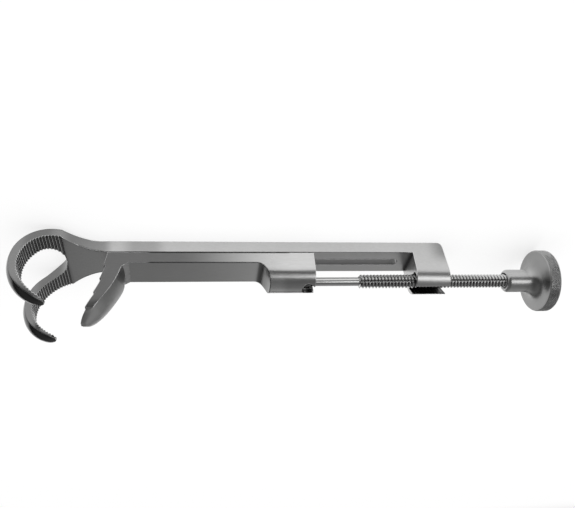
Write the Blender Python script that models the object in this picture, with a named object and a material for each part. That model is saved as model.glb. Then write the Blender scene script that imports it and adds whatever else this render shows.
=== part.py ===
"""Bone holding clamp with a screw spindle, 8 in size, in stainless steel.

A flat bar carries a fork of two ridged hooks at one end and an end block at the other.
A jaw with one toothed prong slides under the bar, guided by two shoulder screws in a
stepped slot. The spindle swivels on a ball in the jaw's block and lies in a half nut,
the open channel of the end block, out of which it swings for quick setting.

Metres, +Z up. The clamp lies on the back of its bar, hooks up, as on a table. X runs
along the bar, from the hooks to the knob, and the origin is under the middle.
"""
import bpy
import bmesh
from math import asin, cos, degrees, pi, radians, sin, sqrt
from mathutils import Vector

MM = 0.001

# Clearance between pieces that touch on the real clamp
SEAT_GAP = 0.3 * MM

# Bar
BAR_WIDTH = 13.2 * MM
BAR_THICKNESS = 4.6 * MM
BAR_LENGTH = 141.9 * MM             # from the hooks' centre to the end of the bar
BAR_END_ROUND = 1.8 * MM
SPINDLE_HEIGHT = 13.7 * MM          # from the back of the bar to the spindle's axis

# Fork and hooks
FORK_WIDTH = 30.6 * MM
FORK_LENGTH = 14.1 * MM             # from the hooks' centre to the straight bar
HOOK_RADIUS = 12.2 * MM             # inside of the hook
HOOK_SWEEP = 165.0                  # degrees from the web to the tip
HOOK_EDGE = 3.1 * MM                # thickness at the hook's sides
HOOK_CROWN = 1.2 * MM               # how far the back of the hook bulges between its sides
HOOK_OUTER = 18.7 * MM              # outer side of a hook, from the middle plane
HOOK_WIDTH = 8.4 * MM
HOOK_RETURN = 2.0 * MM              # how far the tip comes back towards the middle
HOOK_TIP_TAPER = 10.5 * MM          # length over which the hook narrows to its tip
HOOK_TIP_THICKNESS = 1.0 * MM
HOOK_SPLIT = 40.0                   # degrees over which the web splits into two hooks
HOOK_SPREAD = 75.0                  # degrees over which the hooks spread to full width
HOOK_ROOT = 1.0 * MM                # how far a hook starts inside the web
FORK_FLARE = 1.9                    # power of the web's side curve; 1 is straight
TAPER_CURVE = 1.5                   # power at which hooks and prong thin to their tips
TIP_WIDTH = 0.17                    # width left at a tip, as a share of the full width
RIDGE_PITCH = 1.02 * MM
RIDGE_DEPTH = 0.42 * MM

# End block with the half nut
END_BLOCK_LENGTH = 12.5 * MM
END_LEAN = 1.0 * MM                 # how much further the foot of the end block reaches
END_ROUND_HEIGHT = 11.9 * MM        # from the back of the bar to the centre of its round side
NUT_CLEARANCE = 0.25 * MM
CHANNEL_WIDTH = 9.6 * MM            # inside the block, beside the spindle
CHANNEL_WALL = 1.3 * MM             # wall under the channel, at the mouth
CHANNEL_ROOF = 2.0 * MM             # from the spindle's axis to the roof of the channel
CHANNEL_BEVEL = 1.0 * MM            # sloped corner under the roof

# Slot for the guide screws
SLOT_WIDTH = 4.2 * MM
SLOT_END = 17.0 * MM                # from the end of the bar to the end of the slot
RECESS_DEPTH = 1.8 * MM             # step in the back of the bar, for the screw heads

# Sliding jaw
JAW_REST = 14.25 * MM               # from the hooks' centre to the top of the prong
JAW_LENGTH = 75.85 * MM
JAW_THICKNESS = 4.4 * MM
JAW_BLOCK_LENGTH = 17.1 * MM
JAW_ROUND_HEIGHT = 10.9 * MM        # from the back of the bar to the centre of its round side
JAW_SCOOP = 4.6 * MM                # length of the hollow before the block
JAW_CLOSING = 22.0 * MM             # travel from rest towards the hooks
PRONG_REACH = 25.6 * MM             # from the top of the jaw to the prong's tip
PRONG_LEAN = 7.4 * MM               # how far the tip lies towards the hooks
PRONG_ROOT = 5.9 * MM               # thickness below the bar
PRONG_TIP = 1.4 * MM
PRONG_CROWN = 2.4 * MM
PRONG_CROWN_START = 6.0 * MM        # depth below the jaw at which the back is fully crowned
PRONG_FILLET = 2.6 * MM
TOOTH_COUNT = 4
TOOTH_PITCH = 5.5 * MM
TOOTH_DEPTH = 0.65 * MM
TOOTH_STEP = 0.12 * MM              # slope of the step between two teeth

# Guide screws
SCREW_HEAD_RADIUS = 3.3 * MM
SCREW_HEAD_HEIGHT = 1.2 * MM
SCREW_THREAD_RADIUS = 1.25 * MM
SCREW_THREAD_LENGTH = 3.0 * MM
SCREW_FRONT = 25.8 * MM             # from the top of the prong
SCREW_REAR = 12.0 * MM              # from the free end of the jaw
DRIVE_WIDTH = 0.9 * MM
DRIVE_DEPTH = 0.6 * MM

# Spindle and its ball
THREAD_RADIUS = 2.64 * MM
SHANK_RADIUS = 1.66 * MM
SHANK_LENGTH = 20.6 * MM            # from the ball's centre to the thread
HUB_DISTANCE = 79.8 * MM            # from the ball's centre to the knob
THREAD_IN_HUB = 12.0 * MM
BALL_RADIUS = 2.0 * MM
BALL_INSET = 2.5 * MM               # from the jaw's free end to the ball's centre
MOUTH_WIDTH = 6.6 * MM              # oval mouth of the ball's pocket, across the jaw
MOUTH_LENGTH = 4.9 * MM
MOUTH_DEPTH = 2.1 * MM              # from the underside of the jaw
JOURNAL_RADIUS = 1.1 * MM
JOURNAL_LENGTH = 1.3 * MM           # past the ball's centre

# Knob
KNOB_LENGTH = 17.8 * MM
KNOB_RADIUS = 12.16 * MM
KNOB_RIM = 4.7 * MM
KNOB_EDGE = 0.45 * MM
HUB_RADIUS = 4.47 * MM
HUB_CHAMFER = 1.0 * MM
HUB_SINK = 0.4 * MM                 # countersink at the mouth of the bore
HUB_STRAIGHT = 9.4 * MM             # from the hub's end to the start of the flare
FLARE_RADIUS = 8.2 * MM             # where the flare meets the face of the rim
PIN_RADIUS = 0.75 * MM
PIN_PLACE = 4.0 * MM                # from the hub's end
PIN_SUNK = 0.1 * MM                 # how far the pin's end lies below the hub
PIN_WALL = 0.9 * MM                 # hub left whole past the pin's blind end

# Places that follow from the sizes above
OVERALL = (HOOK_RADIUS + HOOK_EDGE + HOOK_CROWN + JAW_REST + JAW_LENGTH
           - BALL_INSET + HUB_DISTANCE + KNOB_LENGTH)
HOOK_X = -OVERALL / 2 + HOOK_RADIUS + HOOK_EDGE + HOOK_CROWN
HOOK_Z = BAR_THICKNESS + HOOK_RADIUS
BAR_END_X = HOOK_X + BAR_LENGTH
BLOCK_X = BAR_END_X - END_BLOCK_LENGTH
JAW_X = HOOK_X + JAW_REST
JAW_END_X = JAW_X + JAW_LENGTH
JAW_TOP = BAR_THICKNESS + SEAT_GAP
JAW_UNDER = JAW_TOP + JAW_THICKNESS
END_BOTTOM = END_ROUND_HEIGHT + BAR_WIDTH / 2
JAW_BOTTOM = JAW_ROUND_HEIGHT + BAR_WIDTH / 2
BALL_X = JAW_END_X - BALL_INSET
HUB_X = BALL_X + HUB_DISTANCE
SCREW_SHOULDER_RADIUS = SLOT_WIDTH / 2 - SEAT_GAP
RECESS_WIDTH = 2 * (SCREW_HEAD_RADIUS + SEAT_GAP)
SLOT_START_X = JAW_X + SCREW_FRONT - JAW_CLOSING - SCREW_HEAD_RADIUS - SEAT_GAP
SLOT_END_X = BAR_END_X - SLOT_END
CUT = 1.0 * MM                      # how far cutters stand past what they cut


def clear_scene():
    """Start from an empty file."""
    for old in list(bpy.data.objects):
        bpy.data.objects.remove(old, do_unlink=True)


def steel(name, grey, roughness):
    """One stainless steel finish."""
    material = bpy.data.materials.new(name)
    material.use_nodes = True
    shader = material.node_tree.nodes["Principled BSDF"]
    shader.inputs["Base Color"].default_value = (grey, grey, grey, 1.0)
    shader.inputs["Metallic"].default_value = 1.0
    shader.inputs["Roughness"].default_value = roughness
    return material


def arc(centre, radius, start, end, steps):
    """Points on a circle in a plane, angles in degrees."""
    points = []
    for i in range(steps + 1):
        angle = radians(start + (end - start) * i / steps)
        points.append((centre[0] + radius * cos(angle), centre[1] + radius * sin(angle)))
    return points


def mesh_object(name, points, faces, origin=(0.0, 0.0, 0.0)):
    """A closed mesh with its faces pointing out, placed by its own origin."""
    mesh = bpy.data.meshes.new(name)
    shift = Vector(origin)
    mesh.from_pydata([Vector(point) - shift for point in points], [], faces)
    work = bmesh.new()
    work.from_mesh(mesh)
    bmesh.ops.recalc_face_normals(work, faces=work.faces)
    work.to_mesh(mesh)
    work.free()
    body = bpy.data.objects.new(name, mesh)
    body.location = shift
    bpy.context.collection.objects.link(body)
    return body


def loft(name, rings):
    """A solid through a row of rings with the same number of points each."""
    count = len(rings[0])
    points = [point for ring in rings for point in ring]
    faces = [tuple(range(count)), tuple(range(len(points) - count, len(points)))]
    for ring in range(len(rings) - 1):
        for i in range(count):
            j = (i + 1) % count
            low = ring * count
            faces.append((low + i, low + j, low + count + j, low + count + i))
    return mesh_object(name, points, faces)


def prism(name, outline, axis, low, high):
    """An outline pushed straight along X, Y or Z, from low to high."""
    def place(a, b, along):
        if axis == "X":
            return (along, a, b)
        if axis == "Y":
            return (a, along, b)
        return (a, b, along)
    return loft(name, [[place(a, b, low) for a, b in outline],
                       [place(a, b, high) for a, b in outline]])


def turned(name, profile, centre, steps, axis="X"):
    """A closed profile of (along, radius) points, turned about an axis through centre."""
    rows = []
    for i in range(steps):
        angle = 2 * pi * i / steps
        row = []
        for along, radius in profile:
            a = radius * cos(angle)
            b = radius * sin(angle)
            offset = (along, a, b) if axis == "X" else (a, b, along)
            row.append(tuple(centre[k] + offset[k] for k in range(3)))
        rows.append(row)
    points = []
    numbers = []
    for i, row in enumerate(rows):
        line = []
        for k, point in enumerate(row):
            if profile[k][1] == 0 and i > 0:
                line.append(numbers[0][k])
            else:
                line.append(len(points))
                points.append(point)
        numbers.append(line)
    faces = []
    count = len(profile)
    for i in range(steps):
        here = numbers[i]
        there = numbers[(i + 1) % steps]
        for k in range(count):
            m = (k + 1) % count
            corners = []
            for corner in (here[k], here[m], there[m], there[k]):
                if corner not in corners:
                    corners.append(corner)
            if len(corners) > 2:
                faces.append(tuple(corners))
    return mesh_object(name, points, faces, centre)


def combine(target, other, operation):
    """Join, cut or trim the target with another solid, which is used up."""
    modifier = target.modifiers.new(operation.title(), "BOOLEAN")
    modifier.object = other
    modifier.operation = operation
    modifier.solver = "EXACT"
    bpy.context.view_layer.update()
    graph = bpy.context.evaluated_depsgraph_get()
    mesh = bpy.data.meshes.new_from_object(target.evaluated_get(graph))
    target.modifiers.remove(modifier)
    target.data = mesh
    bpy.data.objects.remove(other, do_unlink=True)
    return target


def finish(body, name, material, smooth=35.0):
    """Name the piece, give it its steel and shade it."""
    body.name = name
    body.data.name = name
    body.data.materials.clear()
    body.data.materials.append(material)
    body.data.shade_smooth()
    body.data.set_sharp_from_angle(angle=radians(smooth))
    return body


def fork_half_width(x):
    """Half width of the web, which flares from the bar out to the hooks."""
    share = min(max(1 - (x - HOOK_X) / FORK_LENGTH, 0.0), 1.0)
    return BAR_WIDTH / 2 + (FORK_WIDTH - BAR_WIDTH) / 2 * share ** FORK_FLARE


def fork():
    """Bar and web in one loft: flat below, the web's back crowned towards the hooks."""
    steps = 12
    across = 12
    places = [HOOK_X + FORK_LENGTH * i / steps for i in range(steps + 1)]
    rings = []
    for x in places + [BLOCK_X + CUT]:
        half = fork_half_width(x)
        share = min(max(1 - (x - HOOK_X) / FORK_LENGTH, 0.0), 1.0)
        ring = [(x, half, BAR_THICKNESS), (x, -half, BAR_THICKNESS)]
        for i in range(across + 1):
            t = 2 * i / across - 1
            ring.append((x, half * t, (BAR_THICKNESS - HOOK_EDGE) * share * t * t))
        rings.append(ring)
    return loft("bar", rings)


def hook_section(sweep, side):
    """Sides and thicknesses of one hook at a sweep angle; side is +1 or -1."""
    split = min(sweep / HOOK_SPLIT, 1.0)
    spread = min(sweep / HOOK_SPREAD, 1.0)
    turn_in = HOOK_RETURN * (1 - sin(radians(max(sweep, 90.0))))
    outer = FORK_WIDTH / 2 + (HOOK_OUTER - FORK_WIDTH / 2) * (1 - (1 - spread) ** 2) - turn_in
    inner = (HOOK_OUTER - HOOK_WIDTH) * sqrt(1 - (1 - split) ** 2) - turn_in
    thin = split * split * (3 - 2 * split)
    inner_edge = BAR_THICKNESS + (HOOK_EDGE - BAR_THICKNESS) * thin
    outer_edge = HOOK_EDGE
    crown = HOOK_CROWN * thin + (inner_edge - outer_edge) / 4
    left = radians(HOOK_SWEEP - sweep) * HOOK_RADIUS
    if left < HOOK_TIP_TAPER:
        share = 1 - left / HOOK_TIP_TAPER
        middle = (outer + inner) / 2
        half = (outer - inner) / 2 * sqrt(1 - (1 - TIP_WIDTH ** 2) * share * share)
        outer = middle + half
        inner = middle - half
        crown *= 1 - share * share
    slim = min(max(1 - left / (2 * HOOK_TIP_TAPER), 0.0), 1.0) ** TAPER_CURVE
    inner_edge += (HOOK_TIP_THICKNESS - inner_edge) * slim
    outer_edge += (HOOK_TIP_THICKNESS - outer_edge) * slim
    return inner * side, outer * side, inner_edge, outer_edge, crown


def hook(side):
    """One C-shaped hook with cross ridges on its inner face."""
    ridges = round(radians(HOOK_SWEEP) * HOOK_RADIUS / RIDGE_PITCH)
    across = 6

    def ring(sweep, depth, root=0.0):
        inner, outer, inner_edge, outer_edge, crown = hook_section(sweep, side)
        angle = radians(sweep)
        if root > 0:
            outer = side * (fork_half_width(HOOK_X + root) - root)

        def place(radius, y):
            return (HOOK_X + root - radius * sin(angle), y, HOOK_Z - radius * cos(angle))

        points = [place(HOOK_RADIUS + depth + root, inner),
                  place(HOOK_RADIUS + depth + root, outer)]
        for i in range(across + 1):
            t = i / across
            thickness = outer_edge + (inner_edge - outer_edge) * t - root
            bulge = crown * (1 - (2 * t - 1) ** 2)
            points.append(place(HOOK_RADIUS + thickness + bulge, outer + (inner - outer) * t))
        return points

    rings = [ring(0.0, 0.0, HOOK_ROOT)]
    for i in range(ridges):
        rings.append(ring(HOOK_SWEEP * i / ridges, 0.0))
        rings.append(ring(HOOK_SWEEP * (i + 0.5) / ridges, RIDGE_DEPTH))
    rings.append(ring(HOOK_SWEEP, 0.0))
    return loft("hook", rings)


def end_block():
    """Block at the end of the bar: a round-sided channel, open below, with the half nut."""
    half = BAR_WIDTH / 2
    nut = THREAD_RADIUS + NUT_CLEARANCE
    channel = CHANNEL_WIDTH / 2
    roof = SPINDLE_HEIGHT - CHANNEL_ROOF
    mouth_z = END_ROUND_HEIGHT + sqrt(half ** 2 - nut ** 2)
    floor = END_BOTTOM - CHANNEL_WALL
    shoulder = END_ROUND_HEIGHT + sqrt(max((half - CHANNEL_WALL) ** 2 - channel ** 2, 0.0))
    edge_angle = 90 - degrees(asin(nut / half))
    nut_top = degrees(asin(CHANNEL_ROOF / nut))
    outline = [(-half, 0.0), (half, 0.0)]
    outline += arc((0.0, END_ROUND_HEIGHT), half, 0, edge_angle, 12)[:-1]
    outline += [(nut, mouth_z), (nut, floor), (channel, shoulder),
                (channel, roof + CHANNEL_BEVEL), (channel - CHANNEL_BEVEL, roof)]
    outline += arc((0.0, SPINDLE_HEIGHT), nut, -nut_top, -180 + nut_top, 12)
    outline += [(CHANNEL_BEVEL - channel, roof), (-channel, roof + CHANNEL_BEVEL),
                (-channel, shoulder), (-nut, floor), (-nut, mouth_z)]
    outline += arc((0.0, END_ROUND_HEIGHT), half, 180 - edge_angle, 180, 12)[1:]
    foot = END_LEAN / END_BOTTOM
    return loft("end_block", [[(BLOCK_X, y, z) for y, z in outline],
                              [(BAR_END_X + foot * z, y, z) for y, z in outline]])


def rounded_slot(width, low, high):
    """A slot with round ends, for the guide screws to run in."""
    half = width / 2
    ends = SCREW_HEAD_RADIUS + SEAT_GAP
    left = (SLOT_START_X + ends, 0.0)
    right = (SLOT_END_X - SLOT_WIDTH / 2, 0.0)
    outline = arc(left, half, 90, 270, 10) + arc(right, half, -90, 90, 10)
    return prism("slot", outline, "Z", low, high)


def fixed_jaw(material):
    """Bar, fork, hooks and end block, forged and milled from one piece."""
    body = combine(fork(), end_block(), "UNION")
    for side in (1, -1):
        combine(body, hook(side), "UNION")
    combine(body, rounded_slot(SLOT_WIDTH, -CUT, BAR_THICKNESS + CUT), "DIFFERENCE")
    combine(body, rounded_slot(RECESS_WIDTH, -CUT, RECESS_DEPTH), "DIFFERENCE")
    corner = arc((BAR_END_X - BAR_END_ROUND, BAR_END_ROUND), BAR_END_ROUND, -90, 0, 8)
    corner += [(BAR_END_X + CUT, BAR_END_ROUND), (BAR_END_X + CUT, -CUT),
               (BAR_END_X - BAR_END_ROUND, -CUT)]
    combine(body, prism("corner", corner, "Y", -BAR_WIDTH, BAR_WIDTH), "DIFFERENCE")
    return finish(body, "fixed_jaw", material)


def prong():
    """Tongue-shaped prong: toothed in front, crowned behind, round at its tip."""
    half = BAR_WIDTH / 2
    across = 8
    top = JAW_TOP
    tip = JAW_TOP + PRONG_REACH
    last = top + TOOTH_PITCH * TOOTH_COUNT
    round_start = tip - half

    def front(z, share):
        """Front face at a height; share is how far down a tooth the point lies."""
        lean = PRONG_LEAN * ((z - top) / PRONG_REACH) ** 2
        return JAW_X - lean + TOOTH_DEPTH * (0.5 - share)

    def thickness(z):
        down = (z - JAW_UNDER) / (tip - JAW_UNDER)
        if down <= 0:
            return PRONG_ROOT + PRONG_FILLET
        base = PRONG_ROOT + (PRONG_TIP - PRONG_ROOT) * down ** TAPER_CURVE
        depth = z - JAW_UNDER
        if depth < PRONG_FILLET:
            base += PRONG_FILLET - sqrt(PRONG_FILLET ** 2 - (PRONG_FILLET - depth) ** 2)
        return base

    def section(z, share):
        width = half
        if z > round_start:
            width = half * sqrt(max(1 - ((z - round_start) / half) ** 2, TIP_WIDTH ** 2))
        face = front(z, share)
        back = face + thickness(z) + TOOTH_DEPTH * (share - 0.5)
        edge = min(max((z - JAW_UNDER) / PRONG_CROWN_START, 0.0), 1.0)
        narrow = width / half
        ring = [(face, width, z), (face, -width, z)]
        for i in range(across + 1):
            t = 2 * i / across - 1
            bulge = PRONG_CROWN * edge * narrow * (1 - t * t)
            ring.append((back + bulge, width * t, z))
        return ring

    levels = []
    for k in range(TOOTH_COUNT):
        for share in (0.0, 0.25, 0.5, 0.75, 1.0):
            step = TOOTH_STEP if share == 0.0 and k > 0 else 0.0
            levels.append((top + TOOTH_PITCH * (k + share) + step, share))
    levels.append((last + TOOTH_STEP, 0.0))
    for share in (0.35, 0.65, 0.85, 0.95, 1.0):
        levels.append((last + (tip - last) * share, share / 2))
    return loft("prong", [section(z, share) for z, share in levels])


def jaw_body():
    """Flat of the sliding jaw and the block for the ball, with the scoop between them."""
    scoop_x = JAW_END_X - JAW_BLOCK_LENGTH
    half = BAR_WIDTH / 2
    drop = JAW_BOTTOM - JAW_UNDER
    outline = [(JAW_X + PRONG_ROOT / 2, JAW_TOP), (JAW_END_X, JAW_TOP),
               (JAW_END_X, JAW_BOTTOM), (scoop_x, JAW_BOTTOM)]
    steps = 10
    for i in range(1, steps + 1):
        angle = pi / 2 * i / steps
        outline.append((scoop_x - JAW_SCOOP * (1 - cos(angle)),
                        JAW_BOTTOM - drop * sin(angle)))
    outline.append((JAW_X + PRONG_ROOT / 2, JAW_UNDER))
    body = prism("jaw", outline, "Y", -half - CUT, half + CUT)
    round_side = [(half, JAW_TOP - CUT)] + arc((0.0, JAW_ROUND_HEIGHT), half, 0, 180, 24)
    round_side.append((-half, JAW_TOP - CUT))
    trim = prism("trim", round_side, "X", JAW_X - CUT, JAW_END_X + CUT)
    return combine(body, trim, "INTERSECT")


def screw_places():
    """The two guide screws, along X."""
    return (JAW_X + SCREW_FRONT, JAW_END_X - SCREW_REAR)


def sliding_jaw(material):
    """Jaw with the toothed prong, the keyhole for the ball and two tapped holes."""
    body = combine(jaw_body(), prong(), "UNION")
    pocket = BALL_RADIUS + SEAT_GAP
    keyhole = turned("pocket", [(SPINDLE_HEIGHT - pocket, 0.0), (SPINDLE_HEIGHT - pocket, pocket),
                                (JAW_BOTTOM + CUT, pocket), (JAW_BOTTOM + CUT, 0.0)],
                     (BALL_X, 0.0, 0.0), 32, "Z")
    combine(body, keyhole, "DIFFERENCE")
    oval = [(BALL_X + a * MOUTH_LENGTH / 2, b * MOUTH_WIDTH / 2)
            for a, b in arc((0.0, 0.0), 1.0, 0, 360, 32)[:-1]]
    combine(body, prism("mouth", oval, "Z", JAW_BOTTOM - MOUTH_DEPTH, JAW_BOTTOM + CUT),
            "DIFFERENCE")
    neck = SHANK_RADIUS + SEAT_GAP
    outline = arc((0.0, SPINDLE_HEIGHT), neck, 180, 360, 10)
    outline += [(neck, JAW_BOTTOM + CUT), (-neck, JAW_BOTTOM + CUT)]
    combine(body, prism("neck", outline, "X", BALL_X, JAW_END_X + CUT), "DIFFERENCE")
    for x in screw_places():
        hole = SCREW_THREAD_RADIUS + SEAT_GAP
        depth = JAW_TOP + SCREW_THREAD_LENGTH
        drill = turned("drill", [(JAW_TOP - CUT, 0.0), (JAW_TOP - CUT, hole), (depth, hole),
                                 (depth, 0.0)], (x, 0.0, 0.0), 20, "Z")
        combine(body, drill, "DIFFERENCE")
    return finish(body, "sliding_jaw", material)


def guide_screw(name, x, material):
    """Shoulder screw: a flat head in the bar's recess, a shoulder in the slot, a thread."""
    under_head = RECESS_DEPTH - SEAT_GAP
    top = under_head - SCREW_HEAD_HEIGHT
    shoulder = JAW_TOP - SEAT_GAP
    end = JAW_TOP + SCREW_THREAD_LENGTH - SEAT_GAP
    profile = [(top, 0.0), (top, SCREW_HEAD_RADIUS), (under_head, SCREW_HEAD_RADIUS),
               (under_head, SCREW_SHOULDER_RADIUS), (shoulder, SCREW_SHOULDER_RADIUS),
               (shoulder, SCREW_THREAD_RADIUS), (end, SCREW_THREAD_RADIUS), (end, 0.0)]
    body = turned(name, profile, (x, 0.0, 0.0), 32, "Z")
    reach = SCREW_HEAD_RADIUS + CUT
    width = DRIVE_WIDTH / 2
    drive = prism("drive", [(x - reach, -width), (x + reach, -width), (x + reach, width),
                            (x - reach, width)], "Z", top - CUT, top + DRIVE_DEPTH)
    combine(body, drive, "DIFFERENCE")
    return finish(body, name, material)


def swivel_ball(material):
    """Bored ball in the jaw's block: the spindle turns in it, and swings with it."""
    bore = JOURNAL_RADIUS + SEAT_GAP
    flat = degrees(asin(bore / BALL_RADIUS))
    profile = arc((0.0, 0.0), BALL_RADIUS, flat, 180 - flat, 14)
    body = turned("ball", profile, (BALL_X, 0.0, SPINDLE_HEIGHT), 32)
    return finish(body, "swivel_ball", material)


def spindle(material):
    """Journal, smooth shank and coarse thread, whose ridges the finish carries."""
    shank_start = sqrt(BALL_RADIUS ** 2 - JOURNAL_RADIUS ** 2) + SEAT_GAP
    end = HUB_DISTANCE + THREAD_IN_HUB
    chamfer = THREAD_RADIUS - SHANK_RADIUS
    profile = [(-JOURNAL_LENGTH, 0.0), (-JOURNAL_LENGTH, JOURNAL_RADIUS),
               (shank_start, JOURNAL_RADIUS), (shank_start, SHANK_RADIUS),
               (SHANK_LENGTH, SHANK_RADIUS), (SHANK_LENGTH + chamfer, THREAD_RADIUS),
               (end, THREAD_RADIUS), (end, 0.0)]
    body = turned("spindle", profile, (BALL_X, 0.0, SPINDLE_HEIGHT), 32)
    combine(body, pin_hole(), "DIFFERENCE")
    return finish(body, "spindle", material)


def pin_hole():
    """Cross hole for the knob's pin: through the spindle, blind in the hub's far wall."""
    radius = PIN_RADIUS + SEAT_GAP
    mouth = -HUB_RADIUS - CUT
    end = HUB_RADIUS - PIN_WALL
    return turned("pin_hole", [(mouth, 0.0), (mouth, radius), (end, radius), (end, 0.0)],
                  (HUB_X + PIN_PLACE, 0.0, SPINDLE_HEIGHT), 16, "Z")


def knob(material):
    """Turned knob: straight hub, trumpet flare and a thick round rim."""
    rim = KNOB_LENGTH - KNOB_RIM
    bore = THREAD_RADIUS + SEAT_GAP
    bore_end = THREAD_IN_HUB + SEAT_GAP
    profile = [(HUB_SINK, bore), (0.0, bore + HUB_SINK), (0.0, HUB_RADIUS - HUB_CHAMFER),
               (HUB_CHAMFER, HUB_RADIUS)]
    steps = 8
    for i in range(steps + 1):
        angle = pi / 2 * i / steps
        along = HUB_STRAIGHT + (rim - HUB_STRAIGHT) * sin(angle)
        profile.append((along, HUB_RADIUS + (FLARE_RADIUS - HUB_RADIUS) * (1 - cos(angle))))
    profile += [(rim, KNOB_RADIUS - KNOB_EDGE), (rim + KNOB_EDGE, KNOB_RADIUS),
                (KNOB_LENGTH - KNOB_EDGE, KNOB_RADIUS), (KNOB_LENGTH, KNOB_RADIUS - KNOB_EDGE),
                (KNOB_LENGTH, 0.0), (bore_end, 0.0), (bore_end, bore)]
    body = turned("knob", profile, (HUB_X, 0.0, SPINDLE_HEIGHT), 56)
    combine(body, pin_hole(), "DIFFERENCE")
    return finish(body, "knob", material)


def knob_pin(material):
    """Pin driven through the spindle into the hub's far wall, ground flush at its mouth."""
    mouth = PIN_SUNK - HUB_RADIUS
    end = HUB_RADIUS - PIN_WALL - SEAT_GAP
    profile = [(mouth, 0.0), (mouth, PIN_RADIUS), (end, PIN_RADIUS), (end, 0.0)]
    body = turned("pin", profile, (HUB_X + PIN_PLACE, 0.0, SPINDLE_HEIGHT), 16, "Z")
    return finish(body, "knob_pin", material)


def assemble():
    """Make every piece and hang the moving ones from their joints."""
    satin = steel("satin_steel", 0.60, 0.34)
    ground = steel("ground_steel", 0.62, 0.30)
    turned_steel = steel("turned_steel", 0.63, 0.22)
    fixed_jaw(satin)
    jaw = sliding_jaw(ground)
    for name, x in zip(("guide_screw_front", "guide_screw_rear"), screw_places()):
        guide_screw(name, x, turned_steel)
    swivel = bpy.data.objects.new("swivel_axis", None)
    swivel.location = (BALL_X, 0.0, SPINDLE_HEIGHT)
    bpy.context.collection.objects.link(swivel)
    swivel.parent = jaw
    for piece in (swivel_ball(turned_steel), spindle(turned_steel), knob(satin),
                  knob_pin(turned_steel)):
        piece.parent = swivel
        piece.matrix_parent_inverse = swivel.matrix_world.inverted()


clear_scene()
assemble()
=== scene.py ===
"""Finish of the bone holding clamp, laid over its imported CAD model."""
from math import cos, floor, pi, radians, sin

import bmesh
import bpy
from mathutils import Matrix, Vector


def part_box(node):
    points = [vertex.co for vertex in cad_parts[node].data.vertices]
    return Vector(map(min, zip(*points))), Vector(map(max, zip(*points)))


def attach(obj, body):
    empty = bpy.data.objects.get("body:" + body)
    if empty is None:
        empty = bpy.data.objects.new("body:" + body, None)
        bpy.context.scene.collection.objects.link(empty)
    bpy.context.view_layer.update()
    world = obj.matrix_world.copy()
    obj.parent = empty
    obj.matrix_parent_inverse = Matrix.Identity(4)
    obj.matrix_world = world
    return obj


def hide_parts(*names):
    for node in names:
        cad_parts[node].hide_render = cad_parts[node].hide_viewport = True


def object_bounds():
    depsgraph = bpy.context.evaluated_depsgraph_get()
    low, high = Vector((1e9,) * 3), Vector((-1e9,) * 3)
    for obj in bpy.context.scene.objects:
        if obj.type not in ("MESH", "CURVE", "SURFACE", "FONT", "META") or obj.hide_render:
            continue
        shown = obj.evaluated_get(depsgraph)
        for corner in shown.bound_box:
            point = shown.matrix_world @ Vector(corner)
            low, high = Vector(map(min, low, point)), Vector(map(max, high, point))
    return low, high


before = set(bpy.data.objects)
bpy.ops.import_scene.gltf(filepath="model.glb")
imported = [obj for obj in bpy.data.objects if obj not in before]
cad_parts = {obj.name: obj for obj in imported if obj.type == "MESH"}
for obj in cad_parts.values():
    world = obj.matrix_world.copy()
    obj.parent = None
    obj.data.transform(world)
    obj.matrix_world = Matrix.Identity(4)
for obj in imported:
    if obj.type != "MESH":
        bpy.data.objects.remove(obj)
cad_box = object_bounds()
bpy.context.scene.view_settings.view_transform = "Standard"


# Camera. It looks down over the bar's near side from a quarter of a metre away, a little
# on the hooks' side, and is held upside down, so that the bar's back is at the top of the
# picture.
camera_lens = 40.65
camera_shift = (-0.0009, 0.0009)
camera_place = Matrix((
    (0.98614, -0.00196, -0.16588, -0.04449),
    (0.13799, 0.56466, 0.81370, 0.20443),
    (0.09207, -0.82532, 0.55711, 0.14116),
    (0.0, 0.0, 0.0, 1.0)))

camera = bpy.data.objects.new("camera", bpy.data.cameras.new("camera"))
camera.data.sensor_fit = "HORIZONTAL"
camera.data.sensor_width = 36.0
camera.data.lens = camera_lens
camera.data.shift_x, camera.data.shift_y = camera_shift
camera.data.clip_start = 0.01
camera.matrix_world = camera_place
bpy.context.collection.objects.link(camera)
bpy.context.scene.camera = camera


# Floor. A sheet of white card under the clamp, matt, which gives way to a grey table on
# all four sides, outside the picture. Most of the white that the camera and the steel see
# is plain, so that the clamp's shadow on it stays faint.
card_size = 4.0
card_gap = 0.0002
card_white = 0.96
table_grey = 0.40
card_front = (0.13, 0.21)
card_back = (-0.62, -0.46)
card_side = (0.48, 0.64)
plain_share = 0.75
plain_white = 1.04


def feed(tree, inlet, value):
    """Links a socket to an input, or sets the input to a plain value."""
    if hasattr(value, "is_linked"):
        tree.links.new(value, inlet)
    elif value is not None:
        inlet.default_value = value


def math_node(tree, operation, a, b=None):
    """A Math node whose inputs are sockets or plain numbers."""
    node = tree.nodes.new("ShaderNodeMath")
    node.operation = operation
    feed(tree, node.inputs[0], a)
    feed(tree, node.inputs[1], b)
    return node.outputs[0]


def product(tree, *values):
    """All the values multiplied."""
    result = values[0]
    for value in values[1:]:
        result = math_node(tree, "MULTIPLY", result, value)
    return result


def step_between(tree, value, low, high, at_low, at_high):
    """A smooth change from one value to another between two places."""
    node = tree.nodes.new("ShaderNodeMapRange")
    node.interpolation_type = "SMOOTHSTEP"
    for name, given in (("Value", value), ("From Min", low), ("From Max", high),
                        ("To Min", at_low), ("To Max", at_high)):
        feed(tree, node.inputs[name], given)
    return node.outputs[0]


def axes_of(tree, vector):
    """The X, Y and Z of a vector."""
    node = tree.nodes.new("ShaderNodeSeparateXYZ")
    feed(tree, node.inputs[0], vector)
    return node.outputs


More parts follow.
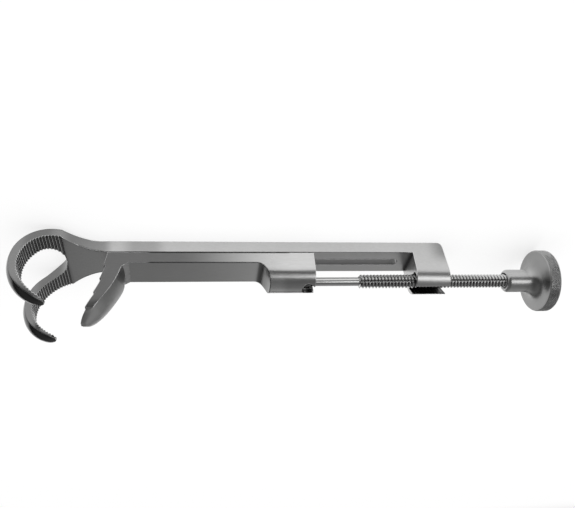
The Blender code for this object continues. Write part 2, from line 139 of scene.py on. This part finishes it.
def grey(tree, value):
    """The grey colour of one brightness."""
    node = tree.nodes.new("ShaderNodeCombineColor")
    for channel in range(3):
        feed(tree, node.inputs[channel], value)
    return node.outputs[0]


card_mesh = bpy.data.meshes.new("white_card")
card_mesh.from_pydata([(-card_size, -card_size, 0.0), (card_size, -card_size, 0.0),
                       (card_size, card_size, 0.0), (-card_size, card_size, 0.0)],
                      [], [(0, 1, 2, 3)])
card = bpy.data.objects.new("white_card", card_mesh)
card.location.z = cad_box[0][2] - card_gap
bpy.context.collection.objects.link(card)

card_paint = bpy.data.materials.new("white_card")
card_paint.use_nodes = True
paper = card_paint.node_tree
paper_shader = paper.nodes["Principled BSDF"]
paper_shader.inputs["Roughness"].default_value = 0.9
paper_shader.inputs["Specular IOR Level"].default_value = 0.1
paper_place = paper.nodes.new("ShaderNodeTexCoord")
paper_axes = axes_of(paper, paper_place.outputs["Object"])
front_edge = step_between(paper, paper_axes["Y"], *card_front, card_white, table_grey)
back_edge = step_between(paper, paper_axes["Y"], *card_back, table_grey, card_white)
side_place = math_node(paper, "ABSOLUTE", paper_axes["X"])
side_edge = step_between(paper, side_place, *card_side, card_white, table_grey)
card_tone = math_node(paper, "MINIMUM", math_node(paper, "MINIMUM", front_edge, back_edge),
                      side_edge)
paper_tone = grey(paper, card_tone)
feed(paper, paper_shader.inputs["Base Color"], paper_tone)
paper_glow = paper.nodes.new("ShaderNodeEmission")
feed(paper, paper_glow.inputs["Color"], paper_tone)
paper_glow.inputs["Strength"].default_value = plain_white
paper_rays = paper.nodes.new("ShaderNodeLightPath")
seen = math_node(paper, "MAXIMUM", paper_rays.outputs["Is Camera Ray"],
                 paper_rays.outputs["Is Glossy Ray"])
paper_mix = paper.nodes.new("ShaderNodeMixShader")
feed(paper, paper_mix.inputs[0], product(paper, seen, plain_share))
feed(paper, paper_mix.inputs[1], paper_shader.outputs[0])
feed(paper, paper_mix.inputs[2], paper_glow.outputs[0])
feed(paper, paper.nodes["Material Output"].inputs["Surface"], paper_mix.outputs[0])
card_mesh.materials.append(card_paint)


# Light. A dim room, lightest at middle height, at the back and to the right; a soft box
# in front on the right for the long highlights on round steel; and a wide scrim overhead
# that lights the card and doesn't show in the steel.
horizon_light, wall_light = 0.13, 0.42
wall_rise = (0.10, 0.45)
ceiling_share = 0.55
ceiling_start = (0.55, 0.95)
front_share = 0.55
back_to_front = (-0.3, 0.6)
left_share, right_share = 0.5, 1.1
left_to_right = (-0.5, 0.5)

room = bpy.data.worlds.new("room")
bpy.context.scene.world = room
room.use_nodes = True
walls = room.node_tree
wall_place = walls.nodes.new("ShaderNodeTexCoord")
wall_axes = axes_of(walls, wall_place.outputs["Generated"])
wall_tone = product(
    walls,
    step_between(walls, wall_axes["Z"], *wall_rise, horizon_light, wall_light),
    step_between(walls, wall_axes["Z"], *ceiling_start, 1.0, ceiling_share),
    step_between(walls, wall_axes["Y"], *back_to_front, 1.0, front_share),
    step_between(walls, wall_axes["X"], *left_to_right, left_share, right_share))
feed(walls, walls.nodes["Background"].inputs["Color"], grey(walls, wall_tone))
walls.nodes["Background"].inputs["Strength"].default_value = 1.0


def soft_box(name, place, target, width, height, radiance):
    """A flat lamp of one brightness that faces the target."""
    lamp = bpy.data.lights.new(name, "AREA")
    lamp.shape = "RECTANGLE"
    lamp.size = width
    lamp.size_y = height
    lamp.energy = radiance * pi * width * height
    holder = bpy.data.objects.new(name, lamp)
    holder.location = place
    aim = Vector(target) - Vector(place)
    holder.rotation_euler = aim.to_track_quat("-Z", "Y").to_euler()
    bpy.context.collection.objects.link(holder)
    return holder


soft_box("front_box", (0.72, 0.80, 0.80), (0.0, 0.0, 0.0), width=1.1, height=0.5,
         radiance=1.7)
scrim = soft_box("scrim", (0.1, 0.2, 1.5), (0.1, 0.1, 0.0), width=4.5, height=4.5,
                 radiance=1.15)
scrim.visible_glossy = False


# Fixed jaw. Bar, forked web, two ridged hooks and the end block are forged in one piece
# of stainless steel, milled and then blasted to an even satin. The end block is hollow:
# a channel with the half nut, cut with the spindle's thread.
def vector_node(tree, operation, a, b=None):
    """A Vector Math node whose inputs are sockets or plain values."""
    node = tree.nodes.new("ShaderNodeVectorMath")
    node.operation = operation
    feed(tree, node.inputs[0], a)
    feed(tree, node.inputs["Scale" if operation == "SCALE" else 1], b)
    return node.outputs["Value" if operation in ("LENGTH", "DOT_PRODUCT") else 0]


def darker(tree, *amounts):
    """What is left of a tone that loses the product of the amounts."""
    return math_node(tree, "SUBTRACT", 1.0, product(tree, *amounts))


def noise(tree, place, scale, detail, roughness):
    """Soft noise between 0 and 1."""
    node = tree.nodes.new("ShaderNodeTexNoise")
    for name, value in (("Vector", place), ("Scale", scale), ("Detail", detail),
                        ("Roughness", roughness)):
        feed(tree, node.inputs[name], value)
    return node.outputs[0]


def shader_group(name, inputs, outputs):
    """A shader group with named inputs, each with its usual value, and named outputs."""
    group = bpy.data.node_groups.new(name, "ShaderNodeTree")
    for title, kind, value in inputs:
        made = group.interface.new_socket(name=title, in_out="INPUT",
                                          socket_type="NodeSocket" + kind)
        if value is not None:
            made.default_value = value
    for title, kind in outputs:
        group.interface.new_socket(name=title, in_out="OUTPUT",
                                   socket_type="NodeSocket" + kind)
    given = group.nodes.new("NodeGroupInput")
    result = group.nodes.new("NodeGroupOutput")
    return group, given.outputs, result.inputs


def satin_grain():
    """Group for blasted or brushed steel: cloudy tone, fine grain and its roughness."""
    group, given, result = shader_group(
        "satin_grain",
        (("Place", "Vector", None), ("Steel", "Color", (0.6, 0.6, 0.6, 1.0)),
         ("Grain Scale", "Vector", (3000.0, 3000.0, 3000.0)), ("Cloud Scale", "Float", 120.0),
         ("Tone Range", "Float", 0.22), ("Roughness", "Float", 0.35),
         ("Roughness Range", "Float", 0.08)),
        (("Colour", "Color"), ("Roughness", "Float"), ("Height", "Float")))
    stretched = vector_node(group, "MULTIPLY", given["Place"], given["Grain Scale"])
    grain = noise(group, stretched, scale=1.0, detail=2.0, roughness=0.65)
    cloud = noise(group, given["Place"], given["Cloud Scale"], detail=5.0, roughness=0.6)
    grain_off = math_node(group, "SUBTRACT", grain, 0.5)
    cloud_off = math_node(group, "SUBTRACT", cloud, 0.5)
    both = math_node(group, "ADD", grain_off, cloud_off)
    tone = math_node(group, "ADD", product(group, both, given["Tone Range"]), 1.0)
    feed(group, result["Colour"], vector_node(group, "SCALE", given["Steel"], tone))
    rough = product(group, cloud_off, given["Roughness Range"])
    feed(group, result["Roughness"], math_node(group, "ADD", rough, given["Roughness"]))
    feed(group, result["Height"], grain)
    return group


edge_gain = 14.0
groove_air, open_air = 0.45, 0.95


def edge_polish_and_groove_shade():
    """Group that finds worn edges, 1 where steel bends sharply, and grooves, 0 inside, for
    painted shade.
    """
    group, given, result = shader_group(
        "edge_polish_and_groove_shade",
        (("Width", "Float", 0.0004), ("Gain", "Float", edge_gain),
         ("Groove Reach", "Float", 0.0008)),
        (("Mask", "Float"), ("Open", "Float"), ("Soft Normal", "Vector")))
    round_over = group.nodes.new("ShaderNodeBevel")
    round_over.samples = 6
    feed(group, round_over.inputs["Radius"], given["Width"])
    surface = group.nodes.new("ShaderNodeNewGeometry")
    unbent = vector_node(group, "DOT_PRODUCT", round_over.outputs[0],
                         surface.outputs["Normal"])
    bend = math_node(group, "SUBTRACT", 1.0, unbent)
    clamp = group.nodes.new("ShaderNodeClamp")
    feed(group, clamp.inputs["Value"], product(group, bend, given["Gain"]))
    shelter = group.nodes.new("ShaderNodeAmbientOcclusion")
    shelter.samples = 8
    shelter.only_local = True
    feed(group, shelter.inputs["Distance"], given["Groove Reach"])
    uncovered = step_between(group, shelter.outputs["AO"], groove_air, open_air, 0.0, 1.0)
    feed(group, result["Mask"], product(group, clamp.outputs[0], uncovered))
    feed(group, result["Open"], uncovered)
    feed(group, result["Soft Normal"], round_over.outputs[0])
    return group


grain_group = satin_grain()
polish_and_shade_group = edge_polish_and_groove_shade()
blue_share = 0.995
# Edge colour: lighter, partly polish from wear and partly a painted highlight.
worn_and_highlight_tone = 0.85
worn_smooth = -0.10
# Painted light: faces turned up lose part of the painted shade along X.
upward_facing = (0.15, 0.75)
painted_top_light = 0.65


def placed_group(tree, group, values):
    """A group placed in a material, with its own values."""
    node = tree.nodes.new("ShaderNodeGroup")
    node.node_tree = group
    for name, value in values.items():
        feed(tree, node.inputs[name], value)
    return node


def steel(name, tone, roughness, grain_scale, cloud_scale, depth, edge_width, groove_shade_tone,
          groove_reach=0.0008, shade=(0.0, 1.0, 1.0, 1.0), matt=0.0, own_painted_shade=None):
    """Stainless steel: its grain and clouds, edges lighter from wear and from a painted
    highlight, and painted shade in its grooves.

    shade gives two places along X and the tone at each of them, a painted shade that faces
    turned up lose in part; matt is the roughness that comes with the darker tone, and the
    last argument gives the piece's own painted shade.
    """
    material = bpy.data.materials.new(name)
    material.use_nodes = True
    tree = material.node_tree
    shader = tree.nodes["Principled BSDF"]
    shader.inputs["Metallic"].default_value = 1.0
    place = tree.nodes.new("ShaderNodeTexCoord")
    spot = axes_of(tree, place.outputs["Object"])
    facing = axes_of(tree, place.outputs["Normal"])
    grain = placed_group(tree, grain_group, {
        "Place": place.outputs["Object"], "Steel": (tone, tone, tone * blue_share, 1.0),
        "Grain Scale": grain_scale, "Cloud Scale": cloud_scale, "Roughness": roughness})
    edges = placed_group(tree, polish_and_shade_group, {
        "Width": edge_width, "Groove Reach": groove_reach})

    # Painted shade: the tone changes along X between the two places given in shade.
    along = step_between(tree, spot["X"], *shade)
    dark = math_node(tree, "SUBTRACT", 1.0, along)
    # Painted light on faces turned up.
    upward = step_between(tree, facing["Z"], *upward_facing, 0.0, painted_top_light)
    along = math_node(tree, "ADD", along, product(tree, dark, upward))
    # Painted shade: the colour darkens where the surface is sheltered, in grooves, ridge roots
    # and the valleys of thread and knurl.
    groove_shade = step_between(tree, edges.outputs["Open"], 0.0, 1.0, groove_shade_tone, 1.0)
    share = product(tree, along, groove_shade)
    # Colour at the edges: partly worn polish and partly a painted highlight; the bar and jaw
    # set it dark on some edges as a painted shadow line.
    edge_colour = tree.nodes.new("ShaderNodeMix")
    edge_colour.data_type = "RGBA"
    edge_colour.inputs[7].default_value = (worn_and_highlight_tone, worn_and_highlight_tone, worn_and_highlight_tone, 1.0)
    # The piece's own painted shade, given by a function.
    if own_painted_shade:
        share = product(tree, share, own_painted_shade(tree, place, edges, edge_colour.inputs[7]))
    feed(tree, edge_colour.inputs[0], edges.outputs["Mask"])
    feed(tree, edge_colour.inputs[6], vector_node(tree, "SCALE", grain.outputs["Colour"], share))
    feed(tree, shader.inputs["Base Color"], edge_colour.outputs[2])

    smooth = product(tree, edges.outputs["Mask"], worn_smooth)
    rough = math_node(tree, "ADD", smooth, grain.outputs["Roughness"])
    rough = math_node(tree, "ADD", rough, product(tree, dark, matt))
    feed(tree, shader.inputs["Roughness"], rough)
    bump = tree.nodes.new("ShaderNodeBump")
    bump.inputs["Strength"].default_value = 1.0
    bump.inputs["Distance"].default_value = depth
    feed(tree, bump.inputs["Height"], grain.outputs["Height"])
    feed(tree, bump.inputs["Normal"], edges.outputs["Soft Normal"])
    feed(tree, shader.inputs["Normal"], bump.outputs[0])
    return material


def dressed(node, name, body, material, crease=38.0):
    """A finished copy of a CAD node: merged, with flats left flat and curves smooth."""
    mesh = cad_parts[node].data.copy()
    mesh.name = name
    if "custom_normal" in mesh.attributes:
        mesh.attributes.remove(mesh.attributes["custom_normal"])
    work = bmesh.new()
    work.from_mesh(mesh)
    bmesh.ops.remove_doubles(work, verts=work.verts, dist=1e-6)
    bmesh.ops.recalc_face_normals(work, faces=work.faces)
    work.to_mesh(mesh)
    work.free()
    mesh.materials.clear()
    mesh.materials.append(material)
    mesh.shade_smooth()
    mesh.set_sharp_from_angle(angle=radians(crease))
    piece = bpy.data.objects.new(name, mesh)
    bpy.context.collection.objects.link(piece)
    even = piece.modifiers.new("flat_faces", "WEIGHTED_NORMAL")
    even.keep_sharp = True
    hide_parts(node)
    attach(piece, body)


hook_size = 0.0165
hook_inside = 0.0122
hook_middle = Vector((cad_box[0][0] + hook_size, 0.0, 0.0168))
hook_overlap = 0.0003
tip_reach = 0.006
ridge_depth = 0.00042
fine_edge, broad_edge = 0.0003, 0.0011
edge_broadens = (hook_inside + 0.0006, hook_inside + 0.0014)
edge_narrows = (hook_size, hook_size + 0.003)
gain_fades = (0.0004, 0.0008)
inside_facing = (-0.008, -0.003)
# Painted shade in the roots of the ridges and on the hooks' backs near the tips.
ridge_root_shade = 0.85
back_facing = (0.004, 0.014)
back_shade = 0.85


def from_axis(tree, place, middle, plane):
    """Distance of each point from an axis, and how squarely its face looks away from it."""
    offset = vector_node(tree, "SUBTRACT", place.outputs["Object"], middle)
    outward = vector_node(tree, "MULTIPLY", offset, plane)
    reach = vector_node(tree, "LENGTH", outward)
    return reach, vector_node(tree, "DOT_PRODUCT", place.outputs["Normal"], outward)


def hook_edges_and_shade(tree, place, spot, edges):
    """Broad outer edges on the hooks, and painted shade on their backs near the tips and in
    the roots of the ridges.
    """
    reach, faces_out = from_axis(tree, place, hook_middle, (1.0, 0.0, 1.0))
    past_ridges = step_between(tree, reach, *edge_broadens, fine_edge, broad_edge)
    past_hook = step_between(tree, reach, *edge_narrows, broad_edge, fine_edge)
    width = math_node(tree, "MINIMUM", past_ridges, past_hook)
    feed(tree, edges.inputs["Width"], width)
    feed(tree, edges.inputs["Gain"], step_between(tree, width, *gain_fades, edge_gain, 0.0))
    on_hook = math_node(tree, "LESS_THAN", spot["X"], hook_middle.x + hook_overlap)
    inside = step_between(tree, faces_out, *inside_facing, 1.0, 0.0)
    root = step_between(tree, reach, hook_inside, hook_inside + ridge_depth, 0.0, ridge_root_shade)
    back = step_between(tree, faces_out, *back_facing, 0.0, back_shade)
    near_tip = step_between(tree, spot["Z"], hook_middle.z - tip_reach,
                            hook_middle.z + tip_reach, 0.0, 1.0)
    return product(tree, darker(tree, inside, on_hook, root),
                   darker(tree, back, near_tip, on_hook))


nut_start = 0.025
nut_radius = 0.0034
thread_pitch = 0.00133
# Painted shade: the channel is dark, and the thread's turns are painted lighter and darker.
turn_shades = (0.90, 0.60)
channel_reach = 0.0062
channel_facing = -0.0015
channel_start = (nut_radius, nut_radius + 0.0002)
channel_shade = 0.68


def nut_painted_shade(tree, place, spot):
    """Painted shade in the channel of the end block, and the turns of the half nut's thread
    painted lighter and darker.

    The painted turns go on, fainter, over the channel's walls.
    """
    spindle_low, spindle_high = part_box("spindle")
    nut_middle = (0.0, 0.0, (spindle_low[2] + spindle_high[2]) / 2)
    reach, faces_out = from_axis(tree, place, nut_middle, (0.0, 1.0, 1.0))
    turn = math_node(tree, "FRACT", math_node(tree, "DIVIDE", spot["X"], thread_pitch))
    crest = math_node(tree, "ABSOLUTE", math_node(tree, "SUBTRACT", turn, 0.5))
    turns = step_between(tree, crest, 0.0, 0.5, *turn_shades)
    wall = step_between(tree, reach, *channel_start, 0.0, channel_shade)
    near_axis = math_node(tree, "LESS_THAN", reach, channel_reach)
    faces_in = math_node(tree, "LESS_THAN", faces_out, channel_facing)
    at_end = math_node(tree, "GREATER_THAN", spot["X"], nut_start)
    loss = math_node(tree, "MAXIMUM", turns, wall)
    return darker(tree, near_axis, faces_in, at_end, loss)


def stretch_of(tree, value, low, high, soft):
    """1 between two places and 0 beyond them, with soft ends."""
    rise = step_between(tree, value, low - soft, low, 0.0, 1.0)
    fall = step_between(tree, value, high, high + soft, 1.0, 0.0)
    return product(tree, rise, fall)


# Painted shade on the near side: darker at the end block's top and in dips along the web, bar
# and hook.
end_darkens = (0.0500, 0.0580)
end_height = (0.004, 0.011)
end_shade = 0.48
near_side_shade_dips = (
    (-0.0810, -0.0715, 0.004, 0.38),
    (-0.0600, -0.0540, 0.006, 0.28),
    (-0.0940, -0.0890, 0.003, 0.22))


def side_painted_shade(tree, spot, to_side):
    """Painted shade on stretches of the near side: at the end, on the web, behind it, on the
    hook.
    """
    loss = product(tree, step_between(tree, spot["X"], *end_darkens, 0.0, end_shade),
                   step_between(tree, spot["Z"], *end_height, 1.0, 0.0))
    for low, high, soft, dip_shade in near_side_shade_dips:
        dip = product(tree, stretch_of(tree, spot["X"], low, high, soft), dip_shade)
        loss = math_node(tree, "ADD", loss, dip)
    return darker(tree, loss, to_side)


bar_start, bar_end = -0.062, 0.041
side_facing = (0.3, 0.7)
slot_reach = 0.004
# Painted shade in the slot, and a painted shadow line along the near side's long edge.
slot_shade = 0.32
above_back = 0.003
long_edge_shadow = 0.04


def bar_edges_and_shade(tree, place, edges, edge_colour):
    """Painted shade on the bar's own faces: in its slot, and a painted shadow line on the long
    edge of its near side.
    """
    spot = axes_of(tree, place.outputs["Object"])
    facing = axes_of(tree, place.outputs["Normal"])
    to_side = step_between(tree, facing["Y"], *side_facing, 0.0, 1.0)
    on_bar = stretch_of(tree, spot["X"], bar_start, bar_end, soft=0.004)
    long_edge = product(tree, on_bar, math_node(tree, "GREATER_THAN", spot["Z"], above_back),
                        math_node(tree, "GREATER_THAN", spot["Y"], slot_reach))
    feed(tree, edge_colour, step_between(tree, long_edge, 0.0, 1.0, worn_and_highlight_tone, long_edge_shadow))
    in_slot = product(tree, math_node(tree, "LESS_THAN", spot["Y"], slot_reach), on_bar,
                      to_side)
    slot = step_between(tree, in_slot, 0.0, 1.0, 1.0, slot_shade)
    return product(tree, hook_edges_and_shade(tree, place, spot, edges), nut_painted_shade(tree, place, spot),
                   slot, side_painted_shade(tree, spot, to_side))


# Painted shade: the tone is darker towards the hooks, and darker in grooves.
blasted_steel = steel(
    "blasted_steel", tone=0.54, roughness=0.30, grain_scale=(600.0, 2600.0, 2600.0),
    cloud_scale=45.0, depth=0.000003, edge_width=fine_edge, groove_shade_tone=0.25,
    groove_reach=0.003, shade=(-0.090, -0.064, 0.45, 1.0), matt=-0.20, own_painted_shade=bar_edges_and_shade)
dressed("fixed_jaw", "bar_and_hooks", "clamp_body", blasted_steel)


# Sliding jaw. Flat, prong and round-sided block are one piece of stainless steel, ground
# along its length after milling, so its grain runs the long way. The two guide screws
# hold it on the bar.
flat_start, flat_end = -0.054, -0.005
# Painted shadow line on the flat's long edges, and painted shade on faces towards the hooks,
# on the slope and on the block.
flat_edge, flat_edge_shadow = 0.0007, 0.05
hooks_facing = (-0.45, -0.15)
end_face_shade = 0.5
slope_darkens = (-0.016, -0.012)
slope_shade = 0.50
top_facing = (0.3, 0.8)
block_darkens = (-0.008, -0.004)
block_top_shade = 0.25


def jaw_painted_shade(tree, place, edges, edge_colour):
    """Painted shade on faces towards the hooks, on the slope and on the block, and a painted
    shadow line on the long edges.
    """
    spot = axes_of(tree, place.outputs["Object"])
    facing = axes_of(tree, place.outputs["Normal"])
    on_flat = stretch_of(tree, spot["X"], flat_start, flat_end, soft=0.003)
    feed(tree, edge_colour, step_between(tree, on_flat, 0.0, 1.0, worn_and_highlight_tone, flat_edge_shadow))
    feed(tree, edges.inputs["Width"],
         step_between(tree, on_flat, 0.0, 1.0, fine_edge, flat_edge))
    to_hooks = step_between(tree, facing["X"], *hooks_facing, 1.0, 0.0)
    end_faces = step_between(tree, facing["X"], *hooks_facing, end_face_shade, 1.0)
    at_slope = step_between(tree, spot["X"], *slope_darkens, 0.0, slope_shade)
    on_block = step_between(tree, spot["X"], *block_darkens, 0.0, block_top_shade)
    upward = step_between(tree, facing["Z"], *top_facing, 0.0, 1.0)
    return product(tree, end_faces, darker(tree, at_slope, to_hooks),
                   darker(tree, on_block, upward))


# Painted shade: the jaw's tone is darker towards the hooks, and darker in grooves.
ground_steel = steel(
    "ground_steel", tone=0.64, roughness=0.26, grain_scale=(300.0, 4200.0, 4200.0),
    cloud_scale=60.0, depth=0.0000015, edge_width=fine_edge, groove_shade_tone=0.25,
    groove_reach=0.002, shade=(-0.046, -0.001, 0.26, 1.0), matt=0.22, own_painted_shade=jaw_painted_shade)
dressed("sliding_jaw", "jaw_and_prong", "jaw", ground_steel)


# Guide screws. Two slotted shoulder screws, turned from stainless steel and polished,
# hold the jaw against the bar; their heads lie in the step of the slot, in the bar's back.
even_grain = (3000.0, 3000.0, 3000.0)
# Painted shade in grooves, such as the thread's valleys.
polished_steel = steel(
    "polished_steel", tone=0.62, roughness=0.16, grain_scale=even_grain, cloud_scale=200.0,
    depth=0.000001, edge_width=0.00005, groove_shade_tone=0.16)
for number in ("front", "rear"):
    dressed("guide_screw_" + number, "shoulder_screw_" + number, "jaw",
            polished_steel)


# Ball. The spindle turns in this bored steel ball, which lies in the keyhole of the jaw's
# block and lets the spindle swing. It is dull from wear and grease; its dark colour is
# painted shade from the keyhole around it.
shaded_ball_steel = steel(
    "shaded_ball_steel", tone=0.16, roughness=0.34, grain_scale=even_grain, cloud_scale=200.0,
    depth=0.000002, edge_width=0.0001, groove_shade_tone=0.4)
dressed("swivel_ball", "bored_ball", "swivel", shaded_ball_steel, crease=50.0)


# Spindle. Turned from stainless bar and polished: a journal in the ball, a smooth shank
# and a coarse right-hand thread with straight flanks and flat crests, which the half nut
# holds. Its other end sits in the knob's hub.
ball_low, ball_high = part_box("swivel_ball")
spindle_low, spindle_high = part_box("spindle")
axis_x = (ball_low[0] + ball_high[0]) / 2
axis_z = (ball_low[2] + ball_high[2]) / 2
spindle_start = spindle_low[0] - axis_x
spindle_end = spindle_high[0] - axis_x
hub_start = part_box("knob")[0][0] - axis_x
journal_radius = 0.0011
shank_start = 0.0020
shank_end = 0.0200
shank_radius = 0.00166
shank_edge = 0.0002
thread_outer = (spindle_high[1] - spindle_low[1]) / 2
thread_root = thread_outer - 0.00070
flank_slope, flank_start = 1.6, 0.25
run_in_slope = 2.5
rows_per_turn = 8
thread_in_hub = 0.002
thread_runs_out = 0.0002


def turned_piece(name, rows, around, radius_at, place, rough_rows=()):
    """A closed turned piece about X: rows of (x, radius), with an own radius per angle."""
    points = []
    for row, (x, radius) in enumerate(rows):
        for i in range(around):
            angle = 2 * pi * i / around
            r = radius_at(row, i, x, angle, radius)
            points.append((x, r * cos(angle), r * sin(angle)))
    faces = []
    for row in range(len(rows) - 1):
        for i in range(around):
            j = (i + 1) % around
            low = row * around
            corners = (low + i, low + j, low + around + j, low + around + i)
            if row in rough_rows and (row + i) % 2 == 0:
                faces += [corners[:3], (corners[0], corners[2], corners[3])]
            elif row in rough_rows:
                faces += [(corners[0], corners[1], corners[3]), corners[1:]]
            else:
                faces.append(corners)
    last = (len(rows) - 1) * around
    faces.append(tuple(range(around)))
    faces.append(tuple(range(last, last + around)))
    mesh = bpy.data.meshes.new(name)
    mesh.from_pydata(points, [], faces)
    work = bmesh.new()
    work.from_mesh(mesh)
    bmesh.ops.recalc_face_normals(work, faces=work.faces)
    work.to_mesh(mesh)
    work.free()
    mesh.shade_smooth()
    piece = bpy.data.objects.new(name, mesh)
    piece.location = place
    bpy.context.collection.objects.link(piece)
    return piece


def thread_radius(row, i, x, angle, radius):
    """Radius of the right-hand thread; a row's negative radius marks the threaded part."""
    if radius >= 0:
        return radius
    turn = x / thread_pitch - angle / (2 * pi)
    share = abs((turn - floor(turn)) * 2 - 1)
    crest = min(max(share * flank_slope - flank_start, 0.0), 1.0)
    run_in = max(shank_radius + run_in_slope * (x - shank_end), shank_radius)
    return min(thread_root + (thread_outer - thread_root) * crest, run_in)


spindle_rows = [(spindle_start, journal_radius * 0.7), (spindle_start, journal_radius * 0.8),
                (spindle_start + shank_edge, journal_radius), (shank_start, journal_radius),
                (shank_start, shank_radius - shank_edge),
                (shank_start + shank_edge, shank_radius),
                (shank_end - shank_edge / 2, shank_radius)]
row_step = thread_pitch / rows_per_turn
thread_rows = int((hub_start + thread_in_hub - shank_end) / row_step)
spindle_rows += [(shank_end + i * row_step, -1.0) for i in range(thread_rows)]
spindle_rows += [(hub_start + thread_in_hub + thread_runs_out, thread_root),
                 (spindle_end, thread_root)]
screw = turned_piece("threaded_spindle", spindle_rows, 36, thread_radius,
                     (axis_x, 0.0, axis_z))
screw.data.set_sharp_from_angle(angle=radians(35))
screw.data.materials.append(polished_steel)
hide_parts("spindle")
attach(screw, "screw")


# Knob. Turned from stainless steel in one piece: a straight hub, a trumpet flare and a
# thick rim with a fine diamond knurl; blasted to the same satin as the bar, and pinned to
# the spindle.
knob_low, knob_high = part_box("knob")
knob_length = knob_high[0] - knob_low[0]
rim_radius = (knob_high[1] - knob_low[1]) / 2
rim_width = 0.0047
rim_start = knob_length - rim_width
rim_edge = 0.00045
rim_bevel = 0.0004
rim_face = rim_radius - rim_edge - rim_bevel
hub_radius = 0.00447
hub_straight = 0.0084
hub_round = 0.0013
flare_radius = 0.0110
flare_power = 0.77
# Painted shade: the knob's face darkens from the hub towards the rim, and the knurl's grooves
# are darker.
flare_dark = rim_start - 0.0006
flare_shade = 0.60
knurls = 112
knurl_rows = 11
knurl_depth = 0.00026
bore_radius = thread_outer + 0.0003
bore_depth = 0.003
bore_sink = 0.0004


def quarter(steps):
    """Angles from 0 to a quarter turn, for a rounded corner."""
    return [pi / 2 * step / (steps - 1) for step in range(steps)]


def knurl_radius(row, i, x, angle, radius):
    """Peaks and valleys of the knurl in turn; elsewhere the row's own radius."""
    if radius >= 0:
        return radius
    return rim_radius - knurl_depth * ((row + i) % 2)


knob_rows = [(bore_depth, bore_radius * 0.5), (bore_depth, bore_radius),
             (bore_sink, bore_radius), (0.0, bore_radius + bore_sink)]
knob_rows += [(hub_round * (1 - cos(turn)), hub_radius - hub_round * (1 - sin(turn)))
              for turn in quarter(6)]
knob_rows += [(hub_straight + (rim_start - hub_straight) * sin(turn),
               hub_radius + (flare_radius - hub_radius) * (1 - cos(turn) ** flare_power))
              for turn in quarter(15)]
knob_rows += [(rim_start, rim_face), (rim_start + rim_edge * 0.3, rim_radius - rim_edge * 0.6),
              (rim_start + rim_edge, rim_radius - knurl_depth / 2)]
first_knurl = len(knob_rows)
knurl_step = (rim_width - rim_edge * 2.4) / (knurl_rows - 1)
knob_rows += [(rim_start + rim_edge * 1.2 + knurl_step * row, -1.0)
              for row in range(knurl_rows)]
knob_rows += [(knob_length - rim_edge, rim_radius - knurl_depth / 2),
              (knob_length - rim_edge * 0.3, rim_radius - rim_edge * 0.6),
              (knob_length, rim_face), (knob_length, rim_radius * 0.3)]
knob = turned_piece("knurled_knob", knob_rows, knurls * 2, knurl_radius,
                    (knob_low[0], 0.0, axis_z),
                    range(first_knurl, first_knurl + knurl_rows - 1))
knob.data.set_sharp_from_angle(angle=radians(30))
satin_turned_steel = steel(
    "satin_turned_steel", tone=0.50, roughness=0.33, grain_scale=even_grain,
    cloud_scale=120.0, depth=0.000002, edge_width=0.00015, groove_shade_tone=0.30,
    groove_reach=0.0006, shade=(hub_straight, flare_dark, 1.0, flare_shade))
knob.data.materials.append(satin_turned_steel)
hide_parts("knob")
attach(knob, "screw")


# Knob pin. A plain pin of hard, polished steel, driven into the hub from the far side,
# through the spindle, and ground off level with the hub.
dressed("knob_pin", "cross_pin", "screw", polished_steel)
